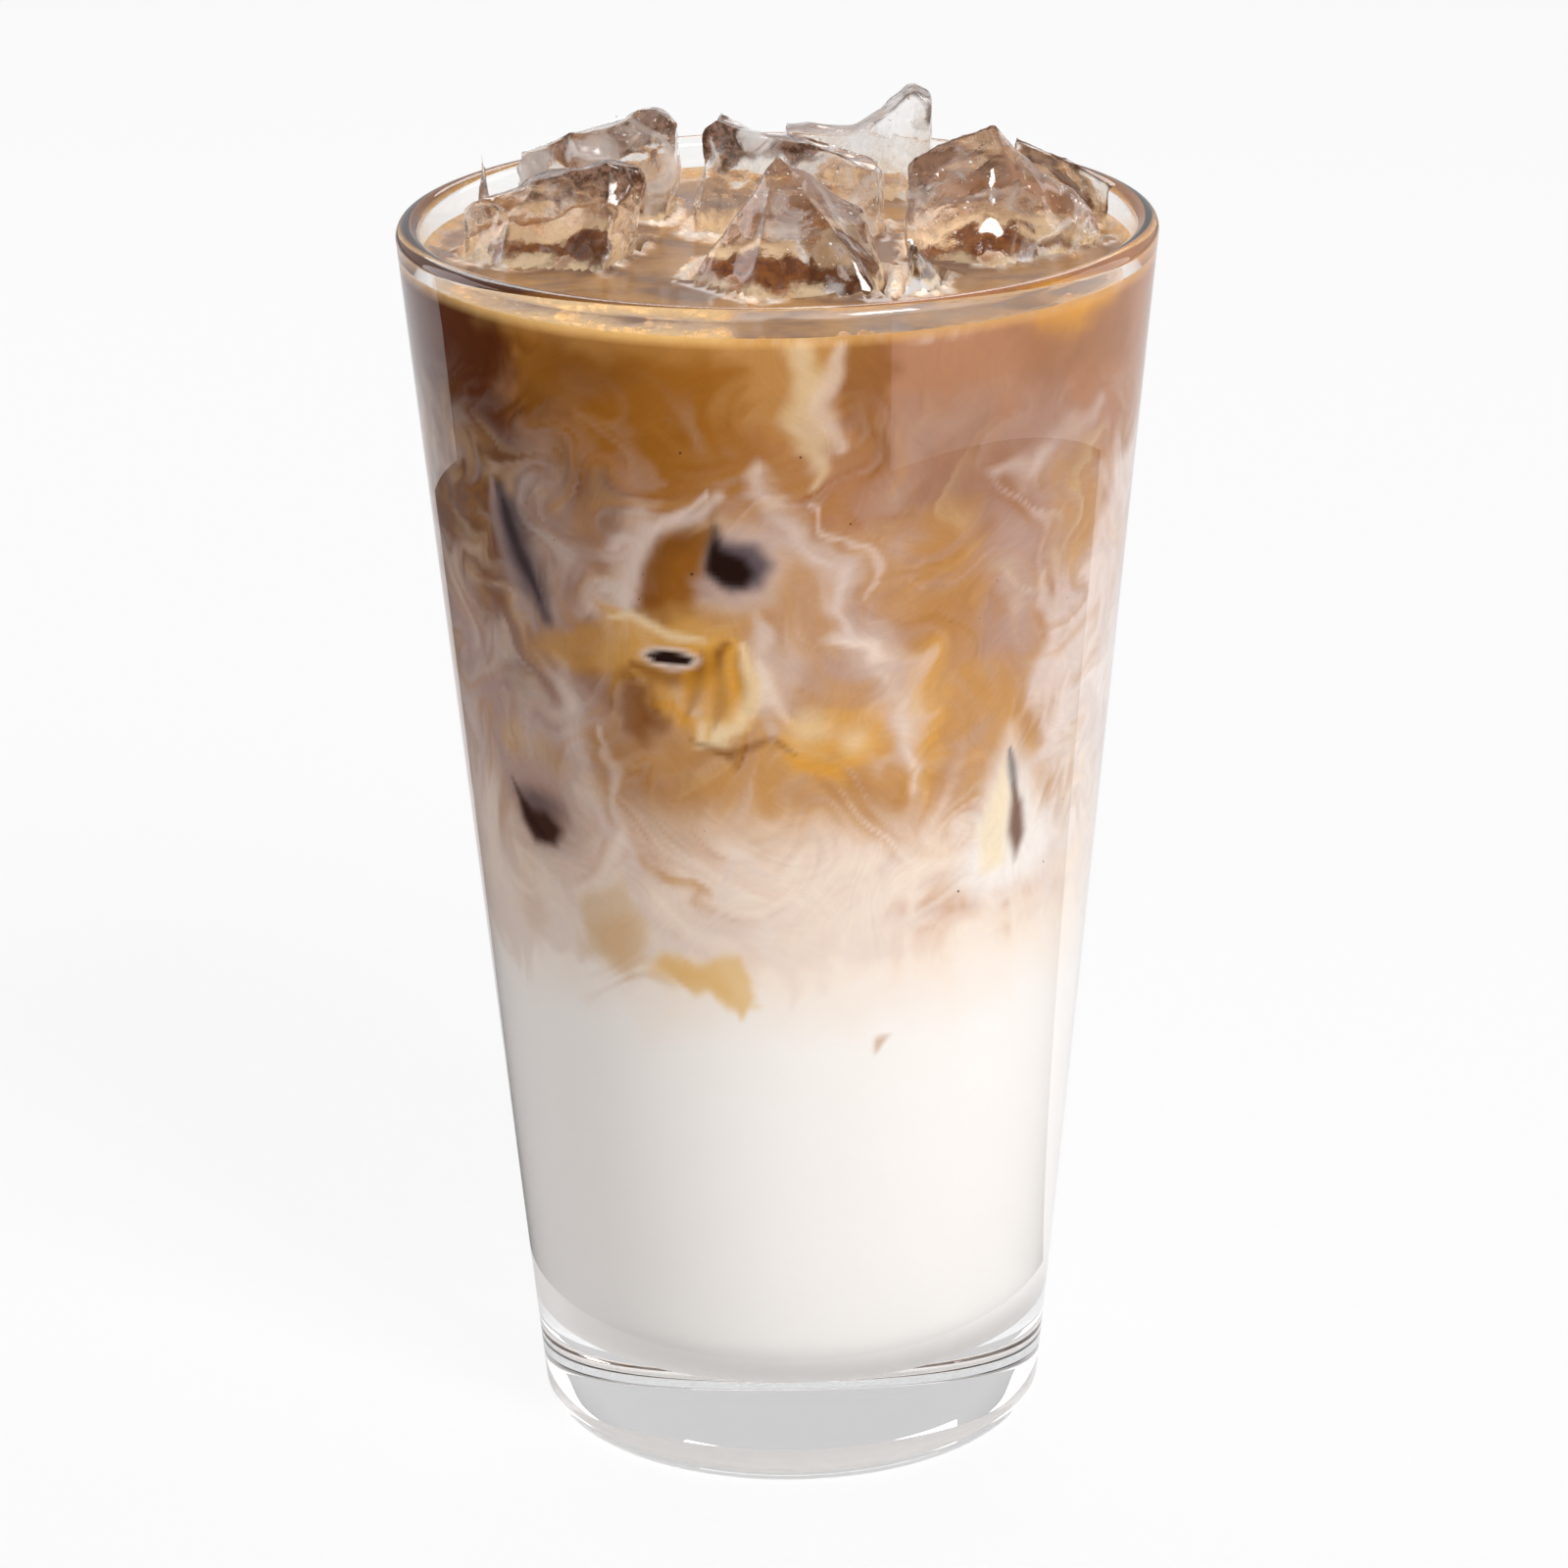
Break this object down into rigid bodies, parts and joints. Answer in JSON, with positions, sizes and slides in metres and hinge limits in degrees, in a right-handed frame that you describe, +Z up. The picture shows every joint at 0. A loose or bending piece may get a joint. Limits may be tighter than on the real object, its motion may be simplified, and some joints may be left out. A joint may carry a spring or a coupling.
{
  "type": "iced latte",
  "caption": "Iced latte in a plain tapered mixing glass: milk below, swirled milk and coffee above, and cracked clear ice standing out of the drink with cream foam round it.",
  "frame": {"origin": "middle of the glass's foot, at the height of what it stands on", "axes": "+Z up the glass, the front looks along -Y, +X to the right seen from the front"},
  "size_m": [0.0888, 0.0888, 0.1601],
  "materials": {
    "glass": "clear, polished, thick at the foot",
    "milk": "opaque milk with a little coffee in it",
    "swirl": "opaque swirls of milk and coffee",
    "coffee": "milky coffee with a wet surface",
    "ice": "wet cracked ice, partly frosted, with coffee in its pits"
  },
  "bodies": {
    "root": {"glass": "glass", "milk": "milk", "swirl": "swirl", "coffee": "coffee", "ice_pyramid": "ice", "ice_half_moon": "ice", "ice_spike": "ice", "ice_back_left": "ice", "ice_crescent": "ice", "ice_back_horn": "ice", "ice_low_ridge": "ice", "ice_fin": "ice", "ice_right_wedge": "ice"}
  },
  "joints": []
}
